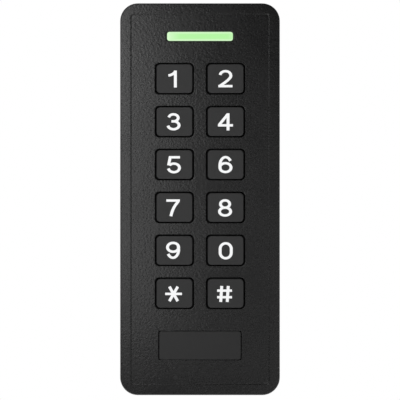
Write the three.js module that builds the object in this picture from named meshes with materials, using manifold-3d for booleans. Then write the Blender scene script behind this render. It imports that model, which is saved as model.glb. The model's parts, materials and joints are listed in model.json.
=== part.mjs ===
// A wall-mounted access reader with a two-column, twelve-key keypad and a lit status bar.
//
// Millimetres. +X is to the viewer's right, +Z is up, and the reader faces -Y.
// The origin is the centre of the mounting plate's back, so the wall is the plane Y = 0.
// "Depth" below always means the distance from the wall towards the viewer: Y = -depth.

import * as THREE from "three";
import { mergeVertices } from "three/addons/utils/BufferGeometryUtils.js";
import Module from "manifold-3d";

const wasm = await Module();
wasm.setup();

// ---------------------------------------------------------------- driving dimensions

const WIDTH = 50.8;
const HEIGHT = 124.4;
const FACE = 22.0; // depth of the flat front face
const CORNER = 5.7; // outline corner radius
const BORDER = 3.4; // width of the low border round the raised face
const FACE_CORNER = 1.0;
const DRAFT = 0.1; // how much each side draws in from the wall to the front

const PANEL_BACK = 19.7; // the front panel runs from here to FACE
const SHOULDER = 8.0; // the walls are thicker in front of this depth
const SKIRT_WALL = 1.7;
const CASE_WALL = 3.0;
const WALL_GAP = 0.4; // the skirt stops just short of the wall

const KEY_NAMES = ["1", "2", "3", "4", "5", "6", "7", "8", "9", "0", "star", "hash"];
const KEY_COLUMNS = [-8.1, 8.1];
const TOP_ROW = 38.2;
const ROW_PITCH = 13.6;
const KEY_WIDTH = 11.3;
const KEY_HEIGHT = 9.1;
const KEY_CORNER = 1.2;
const KEY_APERTURE = { width: 12.4, height: 10.0, radius: 1.4 };
const KEY_PROUD = 0.8;
const KEY_TRAVEL = 1.0;

const LIGHT_Z = 51.6;
const LIGHT_WIDTH = 20.9;
const LIGHT_HEIGHT = 2.9;

const BADGE_Z = -46.3;
const BADGE_WIDTH = 26.4;
const BADGE_HEIGHT = 9.5;

const BOARD_BACK = 11.4;
const BOARD_FRONT = 13.0;
const COVER_BACK = 5.4;
const COVER_FRONT = 7.1;
const PLATE_FRONT = 2.0;

const CLEARANCE = 0.4; // round a part that drops into a cavity
const SEAT = 0.1; // between faces that rest on each other

// Case screws, one near each corner: [x, z].
const CASE_SCREWS = [-1, 1].flatMap((side) => [-1, 1].map((end) => [side * 18.2, end * 54.6]));
const CASE_SCREW_SHANK = 1.1;
const BOSS_RADIUS = 2.7;

// The wiring terminal and the wall opening that its wires come through.
const TERMINAL_Z = 13.0;
const TERMINAL_WAYS = 6;
const TERMINAL_PITCH = 3.5;
const TERMINAL_WIDTH = TERMINAL_WAYS * TERMINAL_PITCH + 1.0;
const TERMINAL_HEIGHT = 7.8;
const TERMINAL_FACE = 3.4;
const TERMINAL_WELL = 1.4; // depth of the recess over each terminal screw
const TERMINAL_WELL_RADIUS = 1.5;
const OPENING = { width: 26, height: 24, z: 19.5, corner: 2.5 };

// Wall fixings of the mounting plate: slots on the centre line, holes beside them.
const BOX_SCREW_Z = 41.65;
const FIXING_RADIUS = 1.95;
const SLOT_TRAVEL = 4.1;
const SIDE_HOLES = [-1, 1].flatMap((side) => [-1, 1].map((end) => [side * 16, end * 30]));

// Top hooks on the plate, and the catches in the housing that hang on them.
const HOOK_COLUMNS = [-9, 9];
const HOOK_WIDTH = 6;
const HOOK_STEM_TOP = 58.0;
const HOOK_LIP = { back: 3.6, front: 4.8, top: 59.7 };

// The optical tamper sensor looks at the plate through a hole in the rear cover.
const TAMPER = { x: 0, z: -29 };

// The security screw runs up through the bottom wall into a lug on the plate.
const LOCK_DEPTH = 3.2;
const LOCK_HEAD_RADIUS = 2.3;
const LOCK_SHANK_RADIUS = 1.2;
const LUG = { width: 8, bottom: -57.0, top: -53.6, front: 5.1 };

// ---------------------------------------------------------------- shapes and solids

// Corner points of a rounded rectangle, anticlockwise, with the same count for any size.
function roundedPoints(width, height, radius, steps = 4) {
  const corners = [
    [1, 1],
    [-1, 1],
    [-1, -1],
    [1, -1],
  ];
  return corners.flatMap(([signX, signZ], quarter) =>
    Array.from({ length: steps + 1 }, (_, i) => {
      const angle = ((quarter + i / steps) * Math.PI) / 2;
      return new THREE.Vector2(
        signX * (width / 2 - radius) + radius * Math.cos(angle),
        signZ * (height / 2 - radius) + radius * Math.sin(angle),
      );
    }),
  );
}

function solidOf(geometry) {
  const bare = geometry.index ? geometry.toNonIndexed() : geometry.clone();
  bare.deleteAttribute("normal");
  bare.deleteAttribute("uv");
  const merged = mergeVertices(bare, 1e-4);
  const mesh = new wasm.Mesh({
    numProp: 3,
    vertProperties: merged.attributes.position.array,
    triVerts: new Uint32Array(merged.index.array),
  });
  return new wasm.Manifold(mesh);
}

function geometryOf(solid) {
  const mesh = solid.getMesh();
  const geometry = new THREE.BufferGeometry();
  geometry.setAttribute("position", new THREE.BufferAttribute(mesh.vertProperties, mesh.numProp));
  geometry.setIndex(new THREE.BufferAttribute(mesh.triVerts, 1));
  const faceted = geometry.toNonIndexed();
  faceted.computeVertexNormals();
  return faceted;
}

const join = (solids) => solids.reduce((whole, next) => whole.add(next));
const cut = (solid, tools) => tools.reduce((rest, tool) => rest.subtract(tool), solid);

// A prism of an outline in the X-Z plane, between two depths.
function prism(points, from, to) {
  const settings = { depth: to - from, bevelEnabled: false };
  const geometry = new THREE.ExtrudeGeometry(new THREE.Shape(points), settings);
  return solidOf(geometry.rotateX(Math.PI / 2).translate(0, -from, 0));
}

// A block with rounded upright edges: size across, size up, and its two depths.
function slab({ width, height, from, to, radius = 0.3, x = 0, z = 0, steps = 3 }) {
  return prism(roundedPoints(width, height, radius, steps), from, to).translate([x, 0, z]);
}

// A block given by its limits.
function block([left, right], [from, to], [bottom, top]) {
  const geometry = new THREE.BoxGeometry(right - left, to - from, top - bottom);
  return solidOf(geometry.translate((left + right) / 2, -(from + to) / 2, (bottom + top) / 2));
}

// A round bar along the depth axis.
function bar(radius, from, to, x = 0, z = 0, sides = 16) {
  const geometry = new THREE.CylinderGeometry(radius, radius, to - from, sides);
  return solidOf(geometry.translate(x, -(from + to) / 2, z));
}

// A round bar that stands upright, between two heights.
function post(radius, bottom, top, depth, sides = 16) {
  const geometry = new THREE.CylinderGeometry(radius, radius, top - bottom, sides);
  return solidOf(geometry.rotateX(Math.PI / 2).translate(0, -depth, (bottom + top) / 2));
}

// A turned solid about the depth axis, from [radius, depth] pairs listed front to back.
function turned(profile, x, z, sides = 12) {
  const points = profile.map(([radius, depth]) => new THREE.Vector2(radius, -depth));
  return solidOf(new THREE.LatheGeometry(points, sides).translate(x, 0, z));
}

// A closed skin over rounded-rectangle rings, listed from the wall to the front.
function loft(rings, steps) {
  const outlines = rings.map((ring) => roundedPoints(ring.width, ring.height, ring.radius, steps));
  const count = outlines[0].length;
  const positions = outlines.flatMap((outline, level) =>
    outline.flatMap((point) => [point.x, -rings[level].depth, point.y]),
  );
  const triangles = [];
  for (let level = 0; level + 1 < rings.length; level += 1) {
    for (let i = 0; i < count; i += 1) {
      const [a, b] = [level * count + i, level * count + ((i + 1) % count)];
      triangles.push(a, b, a + count, b, b + count, a + count);
    }
  }
  const last = (rings.length - 1) * count;
  for (let i = 1; i + 1 < count; i += 1) {
    triangles.push(0, i + 1, i, last, last + i, last + i + 1);
  }
  const geometry = new THREE.BufferGeometry();
  geometry.setAttribute("position", new THREE.Float32BufferAttribute(positions, 3));
  geometry.setIndex(triangles);
  return solidOf(geometry);
}

// ---------------------------------------------------------------- materials

function finish(color, roughness, metalness = 0) {
  return new THREE.MeshStandardMaterial({ color, roughness, metalness });
}

const materials = {
  housing: finish(0x1b1b1c, 0.55),
  keycap: finish(0x232324, 0.45),
  lens: finish(0xaef59b, 0.3),
  badge: finish(0x1d1d1e, 0.4),
  silicone: finish(0x3a3b3d, 0.8),
  carbon: finish(0x0c0c0c, 0.9),
  board: finish(0x0d3b24, 0.4),
  copper: finish(0xb8693a, 0.35, 1),
  ledBody: finish(0xf2efe0, 0.4),
  chip: finish(0x151516, 0.5),
  shield: finish(0xb9bcc0, 0.3, 1),
  terminal: finish(0x1f7a3f, 0.35),
  steel: finish(0xa9abad, 0.3, 1),
  innerPlastic: finish(0x1a1a1b, 0.65),
};

// ---------------------------------------------------------------- casings

const keyPlaces = KEY_NAMES.map((name, index) => ({
  name,
  x: KEY_COLUMNS[index % 2],
  z: TOP_ROW - ROW_PITCH * Math.floor(index / 2),
}));
const keypadMiddle = (keyPlaces[0].z + keyPlaces[keyPlaces.length - 1].z) / 2;

// The outer skin: drafted sides, a small edge round, the nearly flat border, and a fine
// groove that sets off the raised face.
function housingSkin() {
  const rings = [
    { inset: 0, depth: WALL_GAP, radius: CORNER },
    { inset: DRAFT, depth: 20.9, radius: CORNER - DRAFT },
    { inset: DRAFT + 0.15, depth: 21.45, radius: CORNER - DRAFT - 0.15 },
    { inset: DRAFT + 0.6, depth: 21.75, radius: CORNER - DRAFT - 0.6 },
    { inset: BORDER, depth: FACE - 0.2, radius: FACE_CORNER + 0.3 },
    { inset: BORDER + 0.05, depth: FACE - 0.3, radius: FACE_CORNER + 0.25 },
    { inset: BORDER + 0.25, depth: FACE - 0.3, radius: FACE_CORNER + 0.05 },
    { inset: BORDER + 0.3, depth: FACE - 0.1, radius: FACE_CORNER },
    { inset: BORDER + 0.4, depth: FACE, radius: FACE_CORNER - 0.1 },
  ];
  const sized = rings.map(({ inset, depth, radius }) => ({
    width: WIDTH - 2 * inset,
    height: HEIGHT - 2 * inset,
    radius,
    depth,
  }));
  return loft(sized, 5);
}

function frontHousing() {
  const caseRoom = slab({
    width: WIDTH - 2 * CASE_WALL,
    height: HEIGHT - 2 * CASE_WALL,
    from: SHOULDER - 1,
    to: PANEL_BACK,
    radius: CORNER - CASE_WALL,
  });
  const skirtRoom = slab({
    width: WIDTH - 2 * SKIRT_WALL,
    height: HEIGHT - 2 * SKIRT_WALL,
    from: -1,
    to: SHOULDER,
    radius: CORNER - SKIRT_WALL,
  });
  const apertures = keyPlaces.map(({ x, z }) =>
    slab({ ...KEY_APERTURE, from: PANEL_BACK - 1, to: FACE + 1, x, z }),
  );
  const lightSlot = slab({
    width: LIGHT_WIDTH + CLEARANCE,
    height: LIGHT_HEIGHT + CLEARANCE,
    from: PANEL_BACK - 1,
    to: FACE + 1,
    radius: 0.9,
    z: LIGHT_Z,
  });
  const badgeRecess = slab({
    width: BADGE_WIDTH,
    height: BADGE_HEIGHT,
    from: FACE - 0.9,
    to: FACE + 1,
    radius: 0.8,
    z: BADGE_Z,
  });

  // Each boss steps down to a neck that passes through the board.
  const bosses = CASE_SCREWS.flatMap(([x, z]) => [
    bar(BOSS_RADIUS + 1, BOARD_FRONT + SEAT, PANEL_BACK + 0.5, x, z),
    bar(BOSS_RADIUS, COVER_FRONT + SEAT, BOARD_FRONT + 0.5, x, z),
  ]);
  const pilotHoles = CASE_SCREWS.map(([x, z]) =>
    bar(CASE_SCREW_SHANK + 0.3, COVER_FRONT - 1, 15, x, z, 12),
  );

  const insideTop = HEIGHT / 2 - SKIRT_WALL;
  const catches = HOOK_COLUMNS.map((x) =>
    block(
      [x - HOOK_WIDTH / 2 - 0.5, x + HOOK_WIDTH / 2 + 0.5],
      [2.4, HOOK_LIP.back - 0.3],
      [HOOK_STEM_TOP + 0.2, insideTop + 0.5],
    ),
  );
  const lockPad = block([-4.4, 4.4], [0.6, 5.1], [-insideTop - 0.5, -57.6]);
  const lockHole = post(LOCK_SHANK_RADIUS + 0.3, -HEIGHT / 2 - 1, -57, LOCK_DEPTH);
  const headRecess = post(LOCK_HEAD_RADIUS + 0.2, -HEIGHT / 2 - 1, -60.7, LOCK_DEPTH);

  const shell = cut(housingSkin(), [caseRoom, skirtRoom]);
  const fitted = join([shell, ...bosses, ...catches, lockPad]);
  return cut(fitted, [
    ...apertures,
    lightSlot,
    badgeRecess,
    ...pilotHoles,
    lockHole,
    headRecess,
  ]);
}

function rearCover() {
  const plate = slab({
    width: WIDTH - 2 * SKIRT_WALL - CLEARANCE,
    height: HEIGHT - 2 * SKIRT_WALL - CLEARANCE,
    from: COVER_BACK,
    to: COVER_FRONT,
    radius: 4,
  });
  // Four pads on the inside carry the board between the bosses.
  const pads = [-1, 1].flatMap((side) =>
    [-1, 1].map((end) => bar(2, COVER_FRONT - 0.5, BOARD_BACK - SEAT, side * 18, end * 24, 12)),
  );
  const window = slab({
    width: TERMINAL_WIDTH + 3,
    height: TERMINAL_HEIGHT + 3,
    from: COVER_BACK - 1,
    to: COVER_FRONT + 1,
    radius: 1,
    z: TERMINAL_Z,
  });
  const screwHoles = CASE_SCREWS.map(([x, z]) =>
    bar(CASE_SCREW_SHANK + 0.3, COVER_BACK - 1, COVER_FRONT + 1, x, z, 12),
  );
  const sensorHole = bar(2.4, COVER_BACK - 1, COVER_FRONT + 1, TAMPER.x, TAMPER.z);
  return cut(join([plate, ...pads]), [window, ...screwHoles, sensorHole]);
}

function rearGasket() {
  const width = WIDTH - 2 * SKIRT_WALL - CLEARANCE;
  const height = HEIGHT - 2 * SKIRT_WALL - CLEARANCE;
  const [from, to] = [COVER_FRONT + SEAT, SHOULDER - SEAT];
  const outside = slab({ width, height, from, to, radius: 4 });
  const inside = slab({
    width: width - 1.8,
    height: height - 1.8,
    from: from - 1,
    to: to + 1,
    radius: 3.1,
  });
  return cut(outside, [inside]);
}

function mountingPlate() {
  const width = WIDTH - 2 * SKIRT_WALL - 2 * CLEARANCE;
  const height = HEIGHT - 2 * SKIRT_WALL - 2 * CLEARANCE;
  const plate = slab({ width, height, from: 0, to: PLATE_FRONT, radius: 3.9 });
  const ribs = [-1, 1].map((side) =>
    slab({
      width: 1.4,
      height: 96,
      from: PLATE_FRONT - 0.5,
      to: PLATE_FRONT + 1.4,
      radius: 0.5,
      x: side * (width / 2 - 1.6),
    }),
  );
  const hooks = HOOK_COLUMNS.flatMap((x) => {
    const across = [x - HOOK_WIDTH / 2, x + HOOK_WIDTH / 2];
    return [
      block(across, [PLATE_FRONT - 0.5, HOOK_LIP.front], [HOOK_STEM_TOP - 1.6, HOOK_STEM_TOP]),
      block(across, [HOOK_LIP.back, HOOK_LIP.front], [HOOK_STEM_TOP - 0.5, HOOK_LIP.top]),
    ];
  });
  const across = [-LUG.width / 2, LUG.width / 2];
  const lug = block(across, [PLATE_FRONT - 0.5, LUG.front], [LUG.bottom, LUG.top]);

  const opening = slab({
    width: OPENING.width,
    height: OPENING.height,
    from: -1,
    to: PLATE_FRONT + 1,
    radius: OPENING.corner,
    z: OPENING.z,
  });
  const slots = [-1, 1].map((end) =>
    slab({
      width: 2 * FIXING_RADIUS,
      height: 2 * FIXING_RADIUS + SLOT_TRAVEL,
      from: -1,
      to: PLATE_FRONT + 1,
      radius: FIXING_RADIUS - 0.01,
      z: end * BOX_SCREW_Z,
      steps: 5,
    }),
  );
  const sideHoles = SIDE_HOLES.map(([x, z]) => bar(FIXING_RADIUS, -1, PLATE_FRONT + 1, x, z));
  const lockNotch = block([-5, 5], [-1, PLATE_FRONT + 1], [-HEIGHT / 2, -57.2]);
  const lockThread = post(LOCK_SHANK_RADIUS + 0.2, LUG.bottom - 1, LUG.top + 1, LOCK_DEPTH);
  return cut(join([plate, ...ribs, ...hooks, lug]), [
    opening,
    ...slots,
    ...sideHoles,
    lockNotch,
    lockThread,
  ]);
}

// ---------------------------------------------------------------- front face parts

// A flanged light guide: its face fills the slot and its flange bears behind the panel.
function statusLens() {
  const size = (inset, depth) => ({
    width: LIGHT_WIDTH - 2 * inset,
    height: LIGHT_HEIGHT - 2 * inset,
    radius: 0.8 - inset,
    depth,
  });
  const rod = loft([size(0, 15.6), size(0, FACE - 0.15), size(0.25, FACE + 0.1)], 3);
  const flange = slab({
    width: LIGHT_WIDTH + 2.6,
    height: LIGHT_HEIGHT + 2.6,
    from: PANEL_BACK - 1.3,
    to: PANEL_BACK - 0.3,
    radius: 1.2,
  });
  return join([rod, flange]).translate([0, 0, LIGHT_Z]);
}

function lightShroud() {
  const [width, height] = [LIGHT_WIDTH + 4.1, LIGHT_HEIGHT + 3.7];
  const [from, to] = [BOARD_FRONT + SEAT, PANEL_BACK - 1.3 - 0.2];
  const outside = slab({ width, height, from, to, radius: 1, z: LIGHT_Z });
  const inside = slab({
    width: width - 2.8,
    height: height - 2.2,
    from: from - 1,
    to: to + 1,
    radius: 0.6,
    z: LIGHT_Z,
  });
  return cut(outside, [inside]);
}

function badgePlate() {
  return slab({
    width: BADGE_WIDTH - 0.7,
    height: BADGE_HEIGHT - 0.7,
    from: FACE - 0.85,
    to: FACE - 0.25,
    radius: 0.6,
    z: BADGE_Z,
  });
}

// A cap with a softened edge, the flange that keeps it behind the panel, and the stem
// that presses the rubber dome.
function keyCap({ x, z }) {
  const flangeFront = PANEL_BACK - 0.3;
  const flangeBack = flangeFront - 1;
  const top = FACE + KEY_PROUD;
  const size = (inset, depth) => ({
    width: KEY_WIDTH - 2 * inset,
    height: KEY_HEIGHT - 2 * inset,
    radius: KEY_CORNER - inset,
    depth,
  });
  const cap = loft([size(0, flangeBack), size(0, top - 0.5), size(0.15, top - 0.12), size(0.5, top)], 3);
  const flange = slab({
    width: KEY_APERTURE.width + 1.4,
    height: KEY_APERTURE.height + 1.3,
    from: flangeBack,
    to: flangeFront,
    radius: 1.6,
    steps: 1,
  });
  const stem = bar(2.6, DOME.top + SEAT, flangeBack + 0.5, 0, 0, 12);
  return join([cap, flange, stem]).translate([x, 0, z]);
}

// ---------------------------------------------------------------- switching

// One collapsible dome of the mat: depths, and radii at its foot and its crown.
const MAT_FRONT = 14.2;
const DOME = {
  top: 15.65,
  ceiling: 14.85,
  foot: 4.4,
  crown: 2.9,
  innerFoot: 3.8,
  innerCrown: 2.3,
};

function keypadMat() {
  const sheet = slab({
    width: 33.6,
    height: 82,
    from: BOARD_FRONT + SEAT,
    to: MAT_FRONT,
    radius: 2,
    z: keypadMiddle,
  });
  const domes = keyPlaces.map(({ x, z }) =>
    turned([[0, DOME.top], [DOME.crown, DOME.top], [DOME.foot, MAT_FRONT - 0.3], [0, MAT_FRONT - 0.3]], x, z),
  );
  const hollows = keyPlaces.map(({ x, z }) =>
    turned([[0, DOME.ceiling], [DOME.innerCrown, DOME.ceiling], [DOME.innerFoot, 12.5], [0, 12.5]], x, z),
  );
  return cut(join([sheet, ...domes]), hollows);
}

// The conductive pill hangs under a dome's crown, one key travel above its contact.
function contactPill({ x, z }) {
  return bar(1.7, BOARD_FRONT + KEY_TRAVEL + SEAT, DOME.ceiling - SEAT, x, z, 12);
}

// ---------------------------------------------------------------- electronics

function mainBoard() {
  const board = slab({
    width: WIDTH - 2 * CASE_WALL - 2 * CLEARANCE,
    height: HEIGHT - 2 * CASE_WALL - 2 * CLEARANCE,
    from: BOARD_BACK,
    to: BOARD_FRONT,
    radius: 2.6,
  });
  const bossHoles = CASE_SCREWS.map(([x, z]) =>
    bar(BOSS_RADIUS + 0.3, BOARD_BACK - 1, BOARD_FRONT + 1, x, z),
  );
  return cut(board, bossHoles);
}

// A flat wound loop round the keypad, lying on the board.
function antennaCoil() {
  const band = { from: BOARD_FRONT + SEAT, to: BOARD_FRONT + 1.5, z: keypadMiddle };
  const outside = slab({ width: 37.6, height: 86, radius: 4, ...band });
  const inside = slab({ width: 34.4, height: 82.8, ...band, from: 12, to: 16, radius: 2.4 });
  return cut(outside, [inside]);
}

// A lamp package with a shallow dish in its face.
function lamp(x) {
  const from = BOARD_FRONT + SEAT;
  const body = block([x - 1.75, x + 1.75], [from, from + 1.9], [LIGHT_Z - 1.4, LIGHT_Z + 1.4]);
  return cut(body, [bar(1.1, from + 1.5, from + 3, x, LIGHT_Z, 12)]);
}

function buzzer() {
  const [z, from] = [-48.5, BOARD_FRONT + SEAT];
  const can = bar(7, from, from + 5.4, 0, z, 24);
  return cut(can, [bar(1.2, from + 3.5, from + 6, 0, z, 12)]);
}

const onBoardBack = (thickness) => [BOARD_BACK - SEAT - thickness, BOARD_BACK - SEAT];

function processorChip() {
  const [from, to] = onBoardBack(1.2);
  return slab({ width: 9, height: 9, from, to, radius: 0.3, x: -9, z: -14, steps: 1 });
}

function radioModule() {
  const [from, to] = onBoardBack(2.2);
  return slab({ width: 13, height: 11, from, to, radius: 0.8, x: 9, z: -14, steps: 2 });
}

function tamperSensor() {
  const [from, to] = onBoardBack(2);
  return slab({ width: 4.2, height: 3.4, from, to, radius: 0.2, ...TAMPER, steps: 1 });
}

const terminalColumns = Array.from(
  { length: TERMINAL_WAYS },
  (_, way) => (way - (TERMINAL_WAYS - 1) / 2) * TERMINAL_PITCH,
);

function terminalBlock() {
  const body = slab({
    width: TERMINAL_WIDTH,
    height: TERMINAL_HEIGHT,
    from: TERMINAL_FACE,
    to: BOARD_BACK - SEAT,
    radius: 0.4,
    z: TERMINAL_Z,
    steps: 1,
  });
  const wells = terminalColumns.map((x) =>
    bar(TERMINAL_WELL_RADIUS, TERMINAL_FACE - 1, TERMINAL_FACE + TERMINAL_WELL, x, TERMINAL_Z - 1, 12),
  );
  const top = TERMINAL_Z + TERMINAL_HEIGHT / 2;
  const wireEntries = terminalColumns.map((x) =>
    block([x - 1.2, x + 1.2], [TERMINAL_FACE + 0.7, COVER_BACK - 0.2], [top - 2.6, top + 1]),
  );
  return cut(body, [...wells, ...wireEntries]);
}

function terminalScrew(x) {
  const face = TERMINAL_FACE + 0.5;
  const foot = TERMINAL_FACE + TERMINAL_WELL - SEAT;
  const z = TERMINAL_Z - 1;
  const slot = block([x - 2, x + 2], [face - 1, face + 0.4], [z - 0.25, z + 0.25]);
  return cut(bar(TERMINAL_WELL_RADIUS - 0.3, face, foot, x, z, 12), [slot]);
}

function terminalSeal() {
  const ring = { from: COVER_BACK + 0.2, to: COVER_FRONT - 0.2, z: TERMINAL_Z };
  const outside = slab({
    width: TERMINAL_WIDTH + 2.6,
    height: TERMINAL_HEIGHT + 2.6,
    radius: 0.8,
    ...ring,
  });
  const inside = slab({
    width: TERMINAL_WIDTH + 0.4,
    height: TERMINAL_HEIGHT + 0.4,
    radius: 0.4,
    ...ring,
    from: 0,
    to: 20,
  });
  return cut(outside, [inside]);
}

// ---------------------------------------------------------------- fasteners

// A pan-head screw driven towards the viewer, with a cross recess in its head.
function caseScrew([x, z]) {
  const seat = COVER_BACK - SEAT;
  const head = seat - 1.6;
  const body = turned(
    [
      [0, 13.4],
      [CASE_SCREW_SHANK - 0.5, 13.4],
      [CASE_SCREW_SHANK, 12.6],
      [CASE_SCREW_SHANK, seat],
      [2.2, seat],
      [2.2, head + 0.7],
      [1.5, head],
      [0, head],
    ],
    x,
    z,
  );
  const cross = [
    block([x - 1.1, x + 1.1], [head - 1, head + 0.8], [z - 0.25, z + 0.25]),
    block([x - 0.25, x + 0.25], [head - 1, head + 0.8], [z - 1.1, z + 1.1]),
  ];
  return cut(body, cross);
}

// The tamper-proof screw that locks the housing to the plate, with a hexagon socket.
function securityScrew() {
  const head = post(LOCK_HEAD_RADIUS, -62.1, -60.8, LOCK_DEPTH);
  const shank = post(LOCK_SHANK_RADIUS - 0.1, -61, -54, LOCK_DEPTH, 12);
  const socket = post(1.2, -63, -61.3, LOCK_DEPTH, 6);
  return cut(join([head, shank]), [socket]);
}

// ---------------------------------------------------------------- assembly

const reader = new THREE.Group();
reader.name = "keypad_access_reader";

function addPart(name, solid, material) {
  const mesh = new THREE.Mesh(geometryOf(solid), material);
  mesh.name = name;
  reader.add(mesh);
}

addPart("front_housing", frontHousing(), materials.housing);
addPart("status_lens", statusLens(), materials.lens);
addPart("light_shroud", lightShroud(), materials.innerPlastic);
addPart("badge_plate", badgePlate(), materials.badge);

for (const place of keyPlaces) {
  addPart(`key_${place.name}`, keyCap(place), materials.keycap);
  addPart(`contact_pill_${place.name}`, contactPill(place), materials.carbon);
}
addPart("keypad_mat", keypadMat(), materials.silicone);

addPart("main_board", mainBoard(), materials.board);
addPart("antenna_coil", antennaCoil(), materials.copper);
[-7, 0, 7].forEach((x, index) => addPart(`status_led_${index + 1}`, lamp(x), materials.ledBody));
addPart("buzzer", buzzer(), materials.chip);
addPart("processor_chip", processorChip(), materials.chip);
addPart("radio_module", radioModule(), materials.shield);
addPart("tamper_sensor", tamperSensor(), materials.chip);
addPart("terminal_block", terminalBlock(), materials.terminal);
terminalColumns.forEach((x, index) =>
  addPart(`terminal_screw_${index + 1}`, terminalScrew(x), materials.steel),
);
addPart("terminal_seal", terminalSeal(), materials.silicone);

addPart("rear_gasket", rearGasket(), materials.silicone);
addPart("rear_cover", rearCover(), materials.innerPlastic);
CASE_SCREWS.forEach((place, index) =>
  addPart(`case_screw_${index + 1}`, caseScrew(place), materials.steel),
);
addPart("mounting_plate", mountingPlate(), materials.innerPlastic);
addPart("security_screw", securityScrew(), materials.steel);

export default reader;
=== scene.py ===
"""Looks of a wall-mounted keypad access reader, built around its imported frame.

Shapes are worked out in millimetres as outlines in the X-Z plane at a depth, where depth is
the distance from the wall towards the viewer (Y = -depth). Meshes are stored in metres.
"""

import json
import math
from collections import namedtuple

import bmesh
import bpy
from mathutils import Matrix, Vector
from mathutils.geometry import delaunay_2d_cdt

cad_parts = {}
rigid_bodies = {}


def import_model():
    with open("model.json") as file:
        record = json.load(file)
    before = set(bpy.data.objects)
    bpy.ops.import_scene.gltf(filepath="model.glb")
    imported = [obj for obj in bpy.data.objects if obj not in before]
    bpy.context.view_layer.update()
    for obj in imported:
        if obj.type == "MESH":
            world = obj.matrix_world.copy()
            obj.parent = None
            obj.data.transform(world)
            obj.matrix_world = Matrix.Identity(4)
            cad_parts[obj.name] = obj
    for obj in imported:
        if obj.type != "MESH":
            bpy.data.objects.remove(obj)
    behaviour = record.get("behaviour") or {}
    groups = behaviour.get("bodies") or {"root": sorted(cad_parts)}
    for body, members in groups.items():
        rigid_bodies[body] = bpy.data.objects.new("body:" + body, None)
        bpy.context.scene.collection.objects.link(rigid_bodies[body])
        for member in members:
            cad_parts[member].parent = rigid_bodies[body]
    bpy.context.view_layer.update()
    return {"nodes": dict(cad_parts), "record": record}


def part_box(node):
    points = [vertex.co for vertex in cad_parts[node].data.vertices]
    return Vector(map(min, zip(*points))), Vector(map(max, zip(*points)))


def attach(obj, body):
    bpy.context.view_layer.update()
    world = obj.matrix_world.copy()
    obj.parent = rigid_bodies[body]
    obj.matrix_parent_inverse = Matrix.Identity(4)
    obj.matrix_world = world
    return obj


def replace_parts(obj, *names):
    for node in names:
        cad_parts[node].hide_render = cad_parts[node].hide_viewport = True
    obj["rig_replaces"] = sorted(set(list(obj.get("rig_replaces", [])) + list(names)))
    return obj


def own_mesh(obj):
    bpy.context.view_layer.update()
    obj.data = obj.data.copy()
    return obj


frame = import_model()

MM = 0.001
ROOT = "reader"
KEY_NAMES = ["1", "2", "3", "4", "5", "6", "7", "8", "9", "0", "star", "hash"]


# ---------------------------------------------------------------- sizes, from the frame

Span = namedtuple("Span", "left right back front bottom top")


def span(node):
    """A CAD node's limits in millimetres, with its depths counted from the wall."""
    low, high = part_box(node)
    return Span(*(v / MM for v in (low.x, high.x, -high.y, -low.y, low.z, high.z)))


def middle(limits):
    return (limits.left + limits.right) / 2, (limits.bottom + limits.top) / 2


# Rectangles with round corners are (width, height, corner radius).
housing = span("front_housing")
WIDTH = housing.right - housing.left
HEIGHT = housing.top - housing.bottom
FACE = housing.front
CORNER = 5.7
BORDER = 3.4  # width of the low border round the raised face
BORDER_DROP = 0.2  # how far its inner edge lies below the face
GROOVE = 0.3  # width and depth of the groove between the border and the face
FACE_CORNER = 1.0
DRAFT = 0.1
PANEL = 2.3
PANEL_BACK = FACE - PANEL
SHOULDER = 8.0  # the walls are thicker in front of this depth
SKIRT_WALL = 1.7
CASE_WALL = 3.0

# Bosses for the case screws: wide at the panel, then a neck that passes through the board.
BOSS_RADIUS = 3.7
BOSS_NECK = 2.7
BOSS_STEP = 13.1
BOSS_END = 7.2
PILOT_RADIUS = 1.4
PILOT_END = 15

KEY_WIDTH = 11.3
KEY_HEIGHT = 9.1
KEY_CORNER = 1.2
KEY_EDGE = 0.16
APERTURE = (12.4, 10.0, 1.4)
APERTURE_EDGE = 0.07
FLANGE_FRONT = PANEL_BACK - 0.3  # flanges hold the keys and the lens behind the panel
FLANGE_BACK = FLANGE_FRONT - 1

lens = span("status_lens")
lens_middle = middle(lens)[1]
LENS_WIDTH = 20.9
LENS_HEIGHT = 2.9
LIGHT_SLOT = (21.3, 3.3, 0.9)
LIGHT_SLOT_EDGE = 0.12

BADGE_RECESS = (26.4, 9.5, 0.8)
RECESS_FLOOR = FACE - 0.9
RECESS_EDGE = 0.08

# Hooks at the top of the mounting plate, and the catches of the housing that hang on them.
HOOK_COLUMNS = (-9, 9)
HOOK_STEM_TOP = 58.0
HOOK_BACK = 3.6


# ---------------------------------------------------------------- outlines and profiles

def rounded(width, height, radius, x=0, z=0, steps=8):
    """Points (x, z) of a rectangle with round corners, anticlockwise seen from the front."""
    points = []
    for quarter, (side, end) in enumerate(((1, 1), (-1, 1), (-1, -1), (1, -1))):
        for i in range(steps + 1):
            angle = math.pi / 2 * (quarter + i / steps)
            across = side * (width / 2 - radius) + radius * math.cos(angle)
            up = end * (height / 2 - radius) + radius * math.sin(angle)
            points.append((x + across, z + up))
    return points


def circle(radius, x=0, z=0, sides=32):
    """Points (x, z) of a circle, anticlockwise seen from the front."""
    angles = [2 * math.pi * i / sides for i in range(sides)]
    return [(x + radius * math.cos(angle), z + radius * math.sin(angle)) for angle in angles]


def rectangle_at(width, height, radius, x=0, z=0, steps=8):
    """An outline that grows by a margin while its corners stay concentric."""
    return lambda grow: rounded(
        width + 2 * grow, height + 2 * grow, max(radius + grow, 0.02), x, z, steps
    )


def circle_at(x, z, sides=32):
    """An outline for profiles that list radii instead of margins."""
    return lambda radius: circle(radius, x, z, sides)


def round_hole(radius, x, z, sides):
    """A round outline that grows by a margin."""
    return lambda grow: circle(radius + grow, x, z, sides)


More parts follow.
